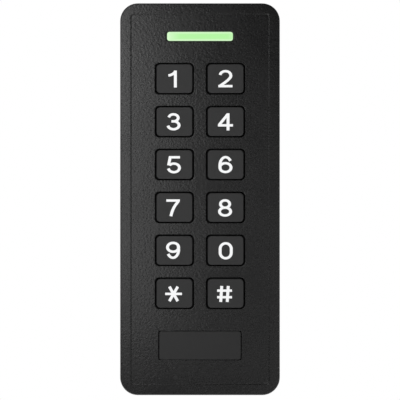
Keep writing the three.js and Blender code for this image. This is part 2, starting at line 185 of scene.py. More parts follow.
def round_over(grow, depth, radius, start, end, steps=4):
    """Profile points round an edge: a turn about (grow, depth) between two angles in degrees."""
    angles = [math.radians(start + (end - start) * i / steps) for i in range(steps + 1)]
    return [(grow + radius * math.cos(a), depth + radius * math.sin(a)) for a in angles]


# ---------------------------------------------------------------- meshes

def surrounds(outline, point):
    """Whether an outline runs round a point."""
    inside = False
    for start, end in zip(outline, [*outline[1:], outline[0]]):
        if (start[1] > point[1]) != (end[1] > point[1]):
            share = (point[1] - start[1]) / (end[1] - start[1])
            if point[0] < start[0] + share * (end[0] - start[0]):
                inside = not inside
    return inside


class Shell:
    """A closed mesh grown loop by loop."""

    def __init__(self):
        self.points = []
        self.faces = []

    def loop(self, outline, depth):
        first = len(self.points)
        self.points += [Vector((x, -depth, z)) * MM for x, z in outline]
        return list(range(first, len(self.points)))

    def bridge(self, one, other):
        for i in range(len(one)):
            self.faces.append((one[i - 1], one[i], other[i], other[i - 1]))

    def sleeve(self, outline_at, profile):
        """Bridges a run of loops along (grow, depth) pairs. Returns the first and last loop."""
        loops = [self.loop(outline_at(grow), depth) for grow, depth in profile]
        for one, other in zip(loops, loops[1:]):
            self.bridge(one, other)
        return loops[0], loops[-1]

    def fill(self, *loops):
        """Fills the flat region between an outer loop and any loops inside it."""
        corners = [i for loop in loops for i in loop]
        numbers = {corner: number for number, corner in enumerate(corners)}
        flat = [Vector((self.points[i].x, self.points[i].z)) / MM for i in corners]
        edges = [(numbers[loop[i - 1]], numbers[loop[i]]) for loop in loops for i in range(len(loop))]
        *_, triangles, origins, _, _ = delaunay_2d_cdt(flat, edges, [], 0, 1e-5)
        borders = [[flat[numbers[i]] for i in loop] for loop in loops]
        for triangle in triangles:
            corner_points = [flat[origins[i][0]] for i in triangle]
            centre = sum(corner_points, Vector((0, 0))) / 3
            if sum(surrounds(border, centre) for border in borders) == 1:
                self.faces.append([corners[origins[i][0]] for i in triangle])

    def make(self, name, turn=None):
        mesh = bpy.data.meshes.new(name)
        mesh.from_pydata([tuple(point) for point in self.points], [], self.faces)
        if turn is not None:
            mesh.transform(turn)
        made = bpy.data.objects.new(name, mesh)
        bpy.context.scene.collection.objects.link(made)
        tidy(made)
        return made


def tidy(piece):
    """Turns a piece's faces outwards, and shades it smooth except over real edges."""
    grown = bmesh.new()
    grown.from_mesh(piece.data)
    bmesh.ops.recalc_face_normals(grown, faces=grown.faces)
    grown.to_mesh(piece.data)
    grown.free()
    piece.data.shade_smooth()
    piece.data.set_sharp_from_angle(angle=math.radians(32))
    if not piece.modifiers:
        flats = piece.modifiers.new("flats", "WEIGHTED_NORMAL")
        flats.keep_sharp = True


def solid(name, outline_at, profile, turn=None):
    """A capped solid of one outline along a profile."""
    shell = Shell()
    first, last = shell.sleeve(outline_at, profile)
    shell.fill(first)
    shell.fill(last)
    return shell.make(name, turn)


def softened(back, front, edge, grow=0):
    """The profile of a straight wall between two depths, with both its edges eased."""
    return [
        (grow - edge, back),
        (grow - edge * 0.3, back + edge * 0.3),
        (grow, back + edge),
        (grow, front - edge),
        (grow - edge * 0.3, front - edge * 0.3),
        (grow - edge, front),
    ]


def plate(name, outline_at, holes, back, front, edge):
    """A flat plate with eased edges and holes right through it."""
    shell = Shell()
    rims = [shell.sleeve(outline_at, softened(back, front, edge))]
    for hole_at in holes:
        opened = [(-grow, depth) for grow, depth in softened(back, front, edge)]
        rims.append(shell.sleeve(hole_at, opened))
    shell.fill(*(rim[0] for rim in rims))
    shell.fill(*(rim[1] for rim in rims))
    return shell.make(name)


def block(name, across, depths, heights, edge=0.15):
    """A plain block with eased edges, given by its limits."""
    width = across[1] - across[0]
    height = heights[1] - heights[0]
    x, z = sum(across) / 2, sum(heights) / 2
    outline_at = rectangle_at(width, height, 2 * edge, x, z, 2)
    return solid(name, outline_at, softened(depths[0], depths[1], edge))


def upright(depth, x=0):
    """Turns a shape built along the depth axis so that its front faces down at that depth."""
    return Matrix.Translation((x * MM, -depth * MM, 0)) @ Matrix.Rotation(math.pi / 2, 4, "X")


def combine(piece, tools, operation):
    """Cuts the tools from a piece, or joins them to it, and removes them."""
    for tool in tools:
        step = piece.modifiers.new("combine", "BOOLEAN")
        step.operation = operation
        step.solver = "EXACT"
        step.object = tool
        graph = bpy.context.evaluated_depsgraph_get()
        result = bpy.data.meshes.new_from_object(piece.evaluated_get(graph))
        piece.modifiers.clear()
        piece.data = result
        bpy.data.objects.remove(tool)
    tidy(piece)
    return piece


# ---------------------------------------------------------------- materials

def new_material(name):
    """A node material, with its nodes, its links and its shader."""
    material = bpy.data.materials.new(name)
    material.use_nodes = True
    nodes = material.node_tree.nodes
    return material, nodes, material.node_tree.links, nodes["Principled BSDF"]


def noise(nodes, links, size, detail=3.0, roughness=0.55, stretch=(1, 1, 1)):
    """A noise pattern with features of about that size in millimetres.

    It is turned at odd angles, so that the pattern's own grid doesn't line up with flat faces.
    """
    position = nodes.new("ShaderNodeTexCoord")
    mapping = nodes.new("ShaderNodeMapping")
    mapping.inputs["Scale"].default_value = stretch
    mapping.inputs["Rotation"].default_value = (0.6, 0.35, 0.5)
    pattern = nodes.new("ShaderNodeTexNoise")
    pattern.inputs["Scale"].default_value = 1 / (size * MM)
    pattern.inputs["Detail"].default_value = detail
    pattern.inputs["Roughness"].default_value = roughness
    links.new(position.outputs["Object"], mapping.inputs["Vector"])
    links.new(mapping.outputs["Vector"], pattern.inputs["Vector"])
    return pattern.outputs["Fac"]


def spread(nodes, links, value, low, high, start=0.3, end=0.7):
    """Maps a pattern's middle range to values from low to high."""
    mapped = nodes.new("ShaderNodeMapRange")
    mapped.inputs["From Min"].default_value = start
    mapped.inputs["From Max"].default_value = end
    mapped.inputs["To Min"].default_value = low
    mapped.inputs["To Max"].default_value = high
    links.new(value, mapped.inputs["Value"])
    return mapped.outputs["Result"]


def tinted(nodes, links, value, dark, light):
    """Mixes two colours by a pattern."""
    mix = nodes.new("ShaderNodeMix")
    mix.data_type = "RGBA"
    mix.inputs["A"].default_value = (*dark, 1)
    mix.inputs["B"].default_value = (*light, 1)
    links.new(value, mix.inputs["Factor"])
    return mix.outputs["Result"]


def relief(nodes, links, heights, shader):
    """Adds bumps to a shader; heights lists (pattern, depth in millimetres)."""
    normal = None
    for value, depth in heights:
        bump = nodes.new("ShaderNodeBump")
        bump.inputs["Strength"].default_value = 1.0
        bump.inputs["Distance"].default_value = depth * MM
        links.new(value, bump.inputs["Height"])
        if normal is not None:
            links.new(normal, bump.inputs["Normal"])
        normal = bump.outputs["Normal"]
    links.new(normal, shader.inputs["Normal"])


def scaled(color, factor):
    return tuple(channel * factor for channel in color)


def moulded(name, color, roughness, grain, grain_depth, variation=0.12, gloss_change=0.04):
    """Moulded plastic: a fine spark-eroded grain that changes the tone, and slow drifts of gloss.

    The grain's size and depth are in millimetres.
    """
    material, nodes, links, shader = new_material(name)
    coarse = noise(nodes, links, grain * 1.4, 1.0, 0.5)
    fine = noise(nodes, links, grain, 1.0, 0.5)
    drift = noise(nodes, links, 14, 2.0, 0.5)
    tone = spread(nodes, links, fine, 0, 1)
    color_low, color_high = scaled(color, 1 - variation), scaled(color, 1 + variation)
    links.new(tinted(nodes, links, tone, color_low, color_high), shader.inputs["Base Color"])
    uneven = nodes.new("ShaderNodeMath")
    uneven.operation = "ADD"
    links.new(spread(nodes, links, drift, roughness - gloss_change, roughness), uneven.inputs[0])
    links.new(spread(nodes, links, fine, 0, gloss_change), uneven.inputs[1])
    links.new(uneven.outputs["Value"], shader.inputs["Roughness"])
    relief(nodes, links, [(coarse, grain_depth), (fine, grain_depth)], shader)
    return material


def rubber(name, color):
    """Dull rubber with a little dust on it."""
    material, nodes, links, shader = new_material(name)
    dust = noise(nodes, links, 0.5, 4.0, 0.6)
    links.new(tinted(nodes, links, spread(nodes, links, dust, 0, 1), color, scaled(color, 1.6)),
              shader.inputs["Base Color"])
    shader.inputs["Roughness"].default_value = 0.82
    relief(nodes, links, [(dust, 0.01)], shader)
    return material


def metal(name, color, roughness, brushing=(1, 1, 1)):
    """Metal with fine lines, which are short along the axes where brushing is large."""
    material, nodes, links, shader = new_material(name)
    lines = noise(nodes, links, 0.12, 3.0, 0.7, brushing)
    shader.inputs["Metallic"].default_value = 1.0
    links.new(tinted(nodes, links, spread(nodes, links, lines, 0, 1), scaled(color, 0.85), color),
              shader.inputs["Base Color"])
    links.new(spread(nodes, links, lines, roughness - 0.06, roughness + 0.1),
              shader.inputs["Roughness"])
    relief(nodes, links, [(lines, 0.002)], shader)
    return material


LIT_GREEN = (0.43, 0.85, 0.34)
LIT_EDGE = (0.62, 0.88, 0.54)
LIT_DEPTH = 0.3  # only this much of the lens glows, behind its face

# Along each axis: the middle of the green, and how far from it the lens starts to whiten and
# is whitest.
LENS_WHITENING = {"X": (1.2, 7.5, 11.3), "Z": (lens_middle, 0.6, 1.2)}


def lit_lens():
    """A milky light guide, green in its middle and whiter towards its ends and edges."""
    material, nodes, links, shader = new_material("lit_green_lens")
    position = nodes.new("ShaderNodeTexCoord")
    split = nodes.new("ShaderNodeSeparateXYZ")
    links.new(position.outputs["Object"], split.inputs["Vector"])
    rims = []
    for axis, (centre, start, end) in LENS_WHITENING.items():
        offset = nodes.new("ShaderNodeMath")
        offset.operation = "SUBTRACT"
        offset.inputs[1].default_value = centre * MM
        links.new(split.outputs[axis], offset.inputs[0])
        away = nodes.new("ShaderNodeMath")
        away.operation = "ABSOLUTE"
        links.new(offset.outputs["Value"], away.inputs[0])
        rims.append(spread(nodes, links, away.outputs["Value"], 0, 1, start * MM, end * MM))
    rim = nodes.new("ShaderNodeMath")
    rim.operation = "MAXIMUM"
    links.new(rims[0], rim.inputs[0])
    links.new(rims[1], rim.inputs[1])
    glow = tinted(nodes, links, rim.outputs["Value"], LIT_GREEN, LIT_EDGE)
    links.new(glow, shader.inputs["Emission Color"])
    face, dark = -lens.front * MM, (LIT_DEPTH - lens.front) * MM
    strength = spread(nodes, links, split.outputs["Y"], 1, 0, face, dark)
    links.new(strength, shader.inputs["Emission Strength"])
    shader.inputs["Base Color"].default_value = (0.02, 0.05, 0.02, 1)
    shader.inputs["Roughness"].default_value = 0.22
    return material


def circuit_board():
    """Green solder mask with raised tracks under it."""
    material, nodes, links, shader = new_material("green_circuit_board")
    position = nodes.new("ShaderNodeTexCoord")
    tracks = nodes.new("ShaderNodeTexBrick")
    tracks.inputs["Scale"].default_value = 1 / (5 * MM)
    tracks.inputs["Mortar Size"].default_value = 0.03
    tracks.offset = 0.37
    turned = nodes.new("ShaderNodeMapping")
    turned.inputs["Rotation"].default_value = (math.pi / 2, 0, 0)
    links.new(position.outputs["Object"], turned.inputs["Vector"])
    links.new(turned.outputs["Vector"], tracks.inputs["Vector"])
    weave = noise(nodes, links, 0.4, 2.0, 0.5)
    links.new(tinted(nodes, links, tracks.outputs["Fac"], (0.008, 0.085, 0.035), (0.02, 0.16, 0.07)),
              shader.inputs["Base Color"])
    shader.inputs["Roughness"].default_value = 0.32
    relief(nodes, links, [(tracks.outputs["Fac"], 0.03), (weave, 0.006)], shader)
    return material


def glowing(material, color, strength):
    """Adds an even glow to a material."""
    shader = material.node_tree.nodes["Principled BSDF"]
    shader.inputs["Emission Color"].default_value = (*color, 1)
    shader.inputs["Emission Strength"].default_value = strength
    return material


def matt_behind(material, depth, blend=0.4):
    """Leaves a material dull behind a depth, where its mould isn't polished."""
    nodes, links = material.node_tree.nodes, material.node_tree.links
    shader = nodes["Principled BSDF"]
    position = nodes.new("ShaderNodeTexCoord")
    split = nodes.new("ShaderNodeSeparateXYZ")
    links.new(position.outputs["Object"], split.inputs["Vector"])
    mix = nodes.new("ShaderNodeMix")
    links.new(spread(nodes, links, split.outputs["Y"], 0, 1, -depth * MM, (blend - depth) * MM),
              mix.inputs["Factor"])
    links.new(shader.inputs["Roughness"].links[0].from_socket, mix.inputs["A"])
    mix.inputs["B"].default_value = 1.0
    links.new(mix.outputs["Result"], shader.inputs["Roughness"])
    return material


def paint(piece, material):
    """Gives a new piece its only material."""
    piece.data.materials.clear()
    piece.data.materials.append(material)
    return piece


BLACK = (0.003, 0.003, 0.0031)
materials = {
    "housing": moulded("satin_black_plastic", BLACK, 0.27, 0.55, 0.032),
    "keycap": matt_behind(
        moulded("key_plastic", (0.0066, 0.0066, 0.0068), 0.48, 0.5, 0.012, 0.08, 0.03), FACE
    ),
    # The white print carries a painted glow as well as its own colour: the even emission stands in
    # for light falling on it, though it is no lamp.
    "legend": glowing(
        moulded("white_legend_painted_glow", (0.62, 0.625, 0.63), 0.42, 0.3, 0.001, 0.02, 0.03), (1, 1, 1), 0.08
    ),
    "status_lens": lit_lens(),
    "badge": moulded("badge_plastic", (0.004, 0.004, 0.0041), 0.40, 0.5, 0.02, 0.1, 0.03),
    "silicone": rubber("grey_silicone", (0.04, 0.04, 0.044)),
    "carbon": rubber("carbon_rubber", (0.008, 0.008, 0.008)),
    "circuit_board": circuit_board(),
    "copper_wire": metal("enamelled_copper", (0.72, 0.29, 0.13), 0.3, (1, 1, 4)),
    "led_body": moulded("lamp_package", (0.78, 0.76, 0.66), 0.3, 0.2, 0.001, 0.03, 0.02),
    "chip": moulded("chip_package", (0.012, 0.012, 0.012), 0.5, 0.12, 0.003),
    "shield_can": metal("tinned_steel", (0.62, 0.62, 0.63), 0.28, (1, 1, 6)),
    "terminal": moulded("green_nylon", (0.012, 0.19, 0.06), 0.34, 0.25, 0.003, 0.06, 0.04),
    "inner_plastic": moulded("inner_black_plastic", (0.013, 0.013, 0.014), 0.55, 0.4, 0.012),
    "mounting_plastic": moulded("wall_plate_plastic", (0.02, 0.02, 0.021), 0.5, 0.4, 0.014),
    "screw_steel": metal("stainless_steel", (0.60, 0.59, 0.57), 0.26, (3, 3, 1)),
}


def place(piece, body, slot, *nodes):
    """Paints a piece, lets it move with a body, and says which CAD nodes it stands for."""
    paint(piece, materials[slot])
    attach(piece, body)
    if nodes:
        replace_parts(piece, *nodes)
    return piece


# ---------------------------------------------------------------- front housing

keys = {name: middle(span(f"key_{name}")) for name in KEY_NAMES}
case_screws = [middle(span(f"case_screw_{i}")) for i in range(1, 5)]
lock_depth = (span("security_screw").back + span("security_screw").front) / 2
LOCK_HOLE = 1.5
LOCK_HEAD_ROOM = 2.5


def housing_outline(grow):
    """The reader's outline drawn in by a margin; the raised face has tighter corners."""
    radius = CORNER + grow if grow > -BORDER + 0.2 else FACE_CORNER - (BORDER + GROOVE + grow)
    return rounded(WIDTH + 2 * grow, HEIGHT + 2 * grow, max(radius, 0.3), steps=12)


def housing_profile():
    """From the flat of the face, over the border and down the side, to the panel's back."""
    lip = BORDER + GROOVE
    lip_edge = 0.05
    groove_floor = FACE - GROOVE
    edge = 0.35  # rounds the border into the side
    border_fall = 0.035  # the border falls by this much on its way to the edge
    slope = math.atan2(border_fall, BORDER - DRAFT - edge)
    border_depth = FACE - BORDER_DROP
    edge_centre = border_depth - border_fall - edge * math.cos(slope)
    return [
        (-lip - 0.55, FACE),
        *round_over(-lip - lip_edge, FACE - lip_edge, lip_edge, 90, 0, 3),
        (-lip, groove_floor + 0.06),
        (-lip + 0.06, groove_floor),
        (-BORDER - 0.08, groove_floor),
        (-BORDER - 0.02, groove_floor + 0.06),
        (-BORDER, border_depth - 0.03),
        (-BORDER + 0.03, border_depth),
        *round_over(-DRAFT - edge, edge_centre, edge, 90 - math.degrees(slope), 0, 6),
        (0, housing.back + 0.2),
        (-0.2, housing.back),
        (-SKIRT_WALL + 0.2, housing.back),
        (-SKIRT_WALL, housing.back + 0.2),
        (-SKIRT_WALL, SHOULDER),
        (-CASE_WALL, SHOULDER),
        (-CASE_WALL, PANEL_BACK),
    ]


def opening_profile(edge, foot):
    """From the flat of the face round an opening's edge to its foot."""
    return [(edge + 0.25, FACE), *round_over(edge, FACE - edge, edge, 90, 180), (0, foot)]


def lock_way_profile():
    """The security screw's hole, and the wider room for its head, down through the bottom wall."""
    bottom = -housing.bottom
    head_room = 60.7
    return [
        (LOCK_HOLE, 56),
        (LOCK_HOLE, head_room),
        (LOCK_HEAD_ROOM, head_room),
        (LOCK_HEAD_ROOM, bottom - 0.2),
        (LOCK_HEAD_ROOM + 0.25, bottom + 0.05),
        (LOCK_HEAD_ROOM + 0.25, 64),
    ]


def build_housing():
    """The front moulding: panel, walls, bosses, catches and the way for the security screw."""
    shell = Shell()
    face_rim, cavity_rim = shell.sleeve(housing_outline, housing_profile())
    face_holes = []
    panel_holes = []
    for x, z in keys.values():
        rims = shell.sleeve(
            rectangle_at(*APERTURE, x, z, 6), opening_profile(APERTURE_EDGE, PANEL_BACK)
        )
        face_holes.append(rims[0])
        panel_holes.append(rims[1])
    rims = shell.sleeve(
        rectangle_at(*LIGHT_SLOT, 0, lens_middle, 5), opening_profile(LIGHT_SLOT_EDGE, PANEL_BACK)
    )
    face_holes.append(rims[0])
    panel_holes.append(rims[1])
    badge_x, badge_z = middle(span("badge_plate"))
    recess = rectangle_at(*BADGE_RECESS, badge_x, badge_z, 5)
    recess_rim, recess_floor = shell.sleeve(recess, opening_profile(RECESS_EDGE, RECESS_FLOOR))
    face_holes.append(recess_rim)
    shell.fill(recess_floor)
    boss = [
        (BOSS_RADIUS, PANEL_BACK),
        (BOSS_RADIUS, BOSS_STEP),
        (BOSS_NECK, BOSS_STEP),
        (BOSS_NECK, BOSS_END),
        (PILOT_RADIUS, BOSS_END),
        (PILOT_RADIUS, PILOT_END),
    ]
    for x, z in case_screws:
        boss_rim, pilot_end = shell.sleeve(circle_at(x, z, 24), boss)
        panel_holes.append(boss_rim)
        shell.fill(pilot_end)
    shell.fill(face_rim, *face_holes)
    shell.fill(cavity_rim, *panel_holes)
    body = shell.make("housing_moulding")

    inside_top = housing.top - SKIRT_WALL
    catches = [
        block(
            "catch",
            (x - 3.5, x + 3.5),
            (2.4, HOOK_BACK - 0.3),
            (HOOK_STEM_TOP + 0.2, inside_top + 0.5),
        )
        for x in HOOK_COLUMNS
    ]
    pad = block("lock_pad", (-4.4, 4.4), (0.6, 5.1), (-inside_top - 0.5, -57.6))
    combine(body, [*catches, pad], "UNION")
    lock_way = solid("lock_way", circle_at(0, 0), lock_way_profile(), upright(lock_depth))
    return combine(body, [lock_way], "DIFFERENCE")


place(build_housing(), ROOT, "housing", "front_housing")


# ---------------------------------------------------------------- light bar and badge

def build_lens():
    """A light guide whose flange bears on the back of the panel."""
    edge = 0.16
    face = rectangle_at(LENS_WIDTH, LENS_HEIGHT, 0.8, 0, lens_middle, 6)
    flange = (lens.right - lens.left - LENS_WIDTH) / 2
    return solid(
        "light_guide",
        face,
        [
            (0, lens.back),
            (0, FLANGE_BACK),
            (flange, FLANGE_BACK),
            (flange, FLANGE_FRONT),
            (0, FLANGE_FRONT),
            *round_over(-edge, lens.front - edge, edge, 0, 90),
        ],
    )


def build_badge():
    """A thin blank plate that nearly fills its recess, glued in a little low."""
    badge = span("badge_plate")
    x, z = middle(badge)
    gap = 0.26
    low = 0.05
    edge = 0.1
    width, height, radius = BADGE_RECESS
    outline = rectangle_at(width - 2 * gap, height - 2 * gap, radius - gap, x, z - low, 5)
    return solid(
        "blank_badge",
        outline,
        [(0, badge.back), *round_over(-edge, badge.front - edge, edge, 0, 90)],
    )


place(build_lens(), ROOT, "status_lens", "status_lens")
place(build_badge(), ROOT, "badge", "badge_plate")


# ---------------------------------------------------------------- key legends

PEN_ACROSS = 0.46  # half the thickness of an upright stroke
PEN_UP = 0.38  # half the thickness of a level stroke
DIGIT_TOP = 2.36  # heights and half-widths of stroke centres, from a digit's middle
DIGIT_SIDE = 1.76
DIGIT_HALF = DIGIT_TOP + PEN_UP


def arc(x, z, across, up, start, end, steps=20):
    """Points on an ellipse between two angles in degrees, anticlockwise from the right."""
    angles = [math.radians(start + (end - start) * i / steps) for i in range(steps + 1)]
    return [(x + across * math.cos(angle), z + up * math.sin(angle)) for angle in angles]


def ring(x, z, across, up):
    points = arc(x, z, across, up, 0, 360, 40)
    return points[:-1] + points[:1]


def curve(start, handle, end, steps=10):
    """A quadratic curve from start to end, pulled towards its handle."""
    points = []
    for i in range(steps + 1):
        t = i / steps
        weights = ((1 - t) ** 2, 2 * t * (1 - t), t * t)
        points.append([
            sum(weight * point[axis] for weight, point in zip(weights, (start, handle, end)))
            for axis in (0, 1)
        ])
    return points


def digit_strokes():
    """The centre lines of each legend's strokes, in millimetres from its middle."""
    top, side, half = DIGIT_TOP, DIGIT_SIDE, DIGIT_HALF
    bowl = (0, -1.0, side, 1.36)
    strokes = {
        "0": [
            arc(0.2, 0.55, side, top - 0.6, 0, 180)
            + arc(0.2, -0.65, side, top - 0.6, 180, 360)
            + [(0.2 + side, 0.55)]
        ],
        "1": [
            [(0.46, half - 0.12), (0.46, -half)],
            curve((0.4, 2.25), (-0.25, 1.3), (-1.75, 1.05)),
        ],
        "2": [
            arc(0.12, 1.05, side - 0.05, top - 0.98, 172, -25)
            + curve((1.62, 0.42), (1.02, -0.55), (-1.63, -2.22)),
            [(-2.13, 0.05 - top), (2.35, 0.05 - top)],
        ],
        "3": [
            arc(-0.13, 1.25, 1.48, top - 1.25, 172, -90),
            [(-0.78, 0.14), (-0.13, 0.14)],
            arc(-0.13, -1.1, side, top - 1.1, 90, -174),
        ],
        "4": [
            [(0.94, half - 0.06), (0.94, -half)],
            [(-2.26, -1.12), (2.5, -1.12)],
            [(0.84, 2.38), (-1.85, -0.97)],
        ],
        "5": [
            [(-1.55, top), (1.92, top)],
            [(-1.15, top + 0.2), (-1.7, -0.2)],
            arc(*bowl, 140, -172),
        ],
        "6": [
            ring(0.12, -0.9, side, 1.4),
            arc(0.17, -0.2, side + 0.05, top + 0.24, 205, 33),
        ],
        "7": [
            [(-2.4, top - 0.1), (1.88, top - 0.1)],
            curve((1.43, 2.0), (-0.45, 0.0), (-0.95, 0.05 - half)),
        ],
        "8": [
            ring(0, 1.15, 1.45, top - 1.2),
            ring(0, -1.22, side, top - 1.12),
        ],
        "star": [
            [(reach * math.cos(angle), reach * math.sin(angle)) for reach in (-2.65, 2.65)]
            for angle in (0, math.pi / 3, 2 * math.pi / 3)
        ],
        "hash": [
            *([(x + 0.16, 2.53), (x - 0.16, -2.53)] for x in (-1.06, 1.0)),
            *([(-2.35, z), (2.35, z)] for z in (1.05, -1.03)),
        ],
    }
    strokes["9"] = [[(-x - 0.14, 0.15 - z) for x, z in path] for path in strokes["6"]]
    return strokes


def ribbon(path):
    """Four-sided pieces along a path, as thick as an upright oval pen would make them."""
    closed = math.dist(path[0], path[-1]) < 1e-6
    sides = []
    for i, (x, z) in enumerate(path):
        before = path[i - 1] if i else path[-2 if closed else 0]
        after = path[i + 1] if i + 1 < len(path) else path[1 if closed else -1]
        length = math.dist(before, after)
        across, up = (before[1] - after[1]) / length, (after[0] - before[0]) / length
        half = math.hypot(PEN_ACROSS * across, PEN_UP * up)
        sides.append([(x + across * half, z + up * half), (x - across * half, z - up * half)])
    return [(one[1], other[1], other[0], one[0]) for one, other in zip(sides, sides[1:])]


def build_legend(name, strokes, x, z, back, front):
    """One flat inlay of the merged strokes, a little proud of its key."""
    quads = [quad for path in strokes for quad in ribbon(path)]
    corners = [Vector(point) for quad in quads for point in quad]
    numbers = [list(range(4 * i, 4 * i + 4)) for i in range(len(quads))]
    flat, _, triangles, *_ = delaunay_2d_cdt(corners, [], numbers, 0, 1e-5)
    centres = [sum((flat[i] for i in triangle), Vector((0, 0))) / 3 for triangle in triangles]
    inked = [any(surrounds(quad, centre) for quad in quads) for centre in centres]
    triangles = [triangle for triangle, inside in zip(triangles, inked) if inside]
    edges = [
        (start, triangle[(i + 1) % 3]) for triangle in triangles for i, start in enumerate(triangle)
    ]
    drawn = set(edges)
    count = len(flat)
    points = [
        Vector((x + point.x, -depth, z + point.y)) * MM
        for depth in (back, front)
        for point in flat
    ]
    faces = [list(triangle) for triangle in triangles]
    faces += [[count + i for i in reversed(triangle)] for triangle in triangles]
    for start, end in edges:
        if (end, start) not in drawn:
            faces.append([end, start, count + start, count + end])
    mesh = bpy.data.meshes.new(name)
    mesh.from_pydata(points, [], faces)
    legend = bpy.data.objects.new(name, mesh)
    bpy.context.scene.collection.objects.link(legend)
    tidy(legend)
    return legend


# ---------------------------------------------------------------- keys and their mat

key_span = span("key_1")
KEY_TOP = key_span.front
STEM_RADIUS = 2.6
LEGEND_SINK = 0.3
LEGEND_PROUD = 0.03

# How far the legends are printed off the middles of their keys, across and up.
DIGIT_SHIFT = (-0.16, -0.08)
LEGEND_SHIFT = {"star": (-0.27, -0.18), "hash": (-0.32, -0.2)}


def build_key(name, x, z):
    """A cap with a rounded rim, the flange behind the panel, and the stem on the dome."""
    shell = Shell()
    cap_at = rectangle_at(KEY_WIDTH, KEY_HEIGHT, KEY_CORNER, x, z, 8)
    width, height = key_span.right - key_span.left, key_span.top - key_span.bottom
    flange_at = rectangle_at(width, height, 1.6, x, z, 4)
    rim = [
        *reversed(round_over(-KEY_EDGE, KEY_TOP - KEY_EDGE, KEY_EDGE, 0, 90, 6)),
        (0, FLANGE_FRONT),
    ]
    top, foot = shell.sleeve(cap_at, [(-KEY_EDGE - 0.3, KEY_TOP), *rim])
    shell.fill(top)
    flange_top, flange_foot = shell.sleeve(flange_at, [(0, FLANGE_FRONT), (0, FLANGE_BACK)])
    shell.fill(flange_top, foot)
    stem = [
        (STEM_RADIUS, FLANGE_BACK),
        (STEM_RADIUS, key_span.back + 0.2),
        (STEM_RADIUS - 0.2, key_span.back),
    ]
    stem_top, stem_end = shell.sleeve(circle_at(x, z, 24), stem)
    shell.fill(flange_foot, stem_top)
    shell.fill(stem_end)
    return shell.make(f"keycap_{name}")


MAT_FRONT = 14.2
DOME_FOOT = MAT_FRONT - 0.3
DOME_TOP = span("keypad_mat").front
DOME_CEILING = DOME_TOP - 0.8


def build_dome(name, x, z):
    """One hollow rubber dome under its key."""
    profile = [
        (3.7, DOME_FOOT),
        (2.3, DOME_CEILING),
        (0.4, DOME_CEILING),
        (0.4, DOME_TOP),
        (2.7, DOME_TOP),
        (2.9, DOME_TOP - 0.15),
        (4.2, DOME_FOOT + 0.35),
        (4.4, DOME_FOOT),
    ]
    shell = Shell()
    inner, outer = shell.sleeve(circle_at(x, z, 28), profile)
    shell.bridge(outer, inner)
    return shell.make(f"dome_{name}")


def build_mat():
    """The flat sheet of the mat, open under each dome."""
    sheet = span("keypad_mat")
    x, z = middle(sheet)
    outline_at = rectangle_at(sheet.right - sheet.left, sheet.top - sheet.bottom, 2, x, z, 6)
    holes = [round_hole(3.75, x, z, 28) for x, z in keys.values()]
    return plate("keypad_sheet", outline_at, holes, sheet.back, DOME_FOOT, 0.08)


place(build_mat(), ROOT, "silicone", "keypad_mat")
strokes = digit_strokes()
for name, (x, z) in keys.items():
    body = f"button_{name}"
    place(build_key(name, x, z), body, "keycap", f"key_{name}")
    shift_x, shift_z = LEGEND_SHIFT.get(name, DIGIT_SHIFT)
    legend = build_legend(
        f"legend_{name}",
        strokes[name],
        x + shift_x,
        z + shift_z,
        KEY_TOP - LEGEND_SINK,
        KEY_TOP + LEGEND_PROUD,
    )
    place(legend, body, "legend")
    dome = place(build_dome(name, x, z), ROOT, "silicone")
    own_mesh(dome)


# ---------------------------------------------------------------- back of the reader

terminal = span("terminal_block")
terminal_x, terminal_z = middle(terminal)
TERMINAL_WIDTH = terminal.right - terminal.left
TERMINAL_HEIGHT = terminal.top - terminal.bottom
terminal_screws = [middle(span(f"terminal_screw_{i}")) for i in range(1, 7)]
cover = span("rear_cover")
COVER_FRONT = cover.back + 1.7
BOARD_PAD_RADIUS = 2
mounting = span("mounting_plate")
PLATE_FRONT = 2.0
PLATE_INSIDE = PLATE_FRONT - 0.5  # what stands on the plate starts inside it
WIRE_OPENING = (26, 24, 2.5)
WIRE_OPENING_Z = 19.5
FIXING_RADIUS = 1.95
BOX_SCREW_Z = 41.65
SLOT_TRAVEL = 4.1


def build_mounting_plate():
    """The plate on the wall, with its fixing holes, wire opening, ribs, hooks and lug."""
    width, height = mounting.right - mounting.left, mounting.top - mounting.bottom
    slot = (2 * FIXING_RADIUS, 2 * FIXING_RADIUS + SLOT_TRAVEL, FIXING_RADIUS - 0.01)
    fixing_slots = [rectangle_at(*slot, 0, z, 10) for z in (-BOX_SCREW_Z, BOX_SCREW_Z)]
    holes = [round_hole(FIXING_RADIUS, x, z, 36) for x in (-16, 16) for z in (-30, 30)]
    base = plate(
        "wall_plate",
        rectangle_at(width, height, 3.9, steps=12),
        [rectangle_at(*WIRE_OPENING, 0, WIRE_OPENING_Z, 8), *fixing_slots, *holes],
        mounting.back,
        PLATE_FRONT,
        0.3,
    )
    ribs = [
        block("rib", (x - 0.7, x + 0.7), (PLATE_INSIDE, 3.4), (-48, 48))
        for x in (mounting.left + 1.6, mounting.right - 1.6)
    ]
    hooks = []
    hook_front = 4.8
    for x in HOOK_COLUMNS:
        across = (x - 3, x + 3)
        stem_heights = (HOOK_STEM_TOP - 1.6, HOOK_STEM_TOP)
        lip_heights = (HOOK_STEM_TOP - 0.5, HOOK_STEM_TOP + 1.7)
        hooks.append(block("hook_stem", across, (PLATE_INSIDE, hook_front), stem_heights))
        hooks.append(block("hook_lip", across, (HOOK_BACK, hook_front), lip_heights))
    lug = block("lug", (-4, 4), (PLATE_INSIDE, 5.1), (-57.0, -53.6))
    combine(base, [*ribs, *hooks, lug], "UNION")
    notch = block("notch", (-5, 5), (-1, PLATE_FRONT + 1), (-63, -57.2), 0.3)
    thread = solid("thread", circle_at(0, 0, 24), [(1.4, 50), (1.4, 60)], upright(lock_depth))
    return combine(base, [notch, thread], "DIFFERENCE")


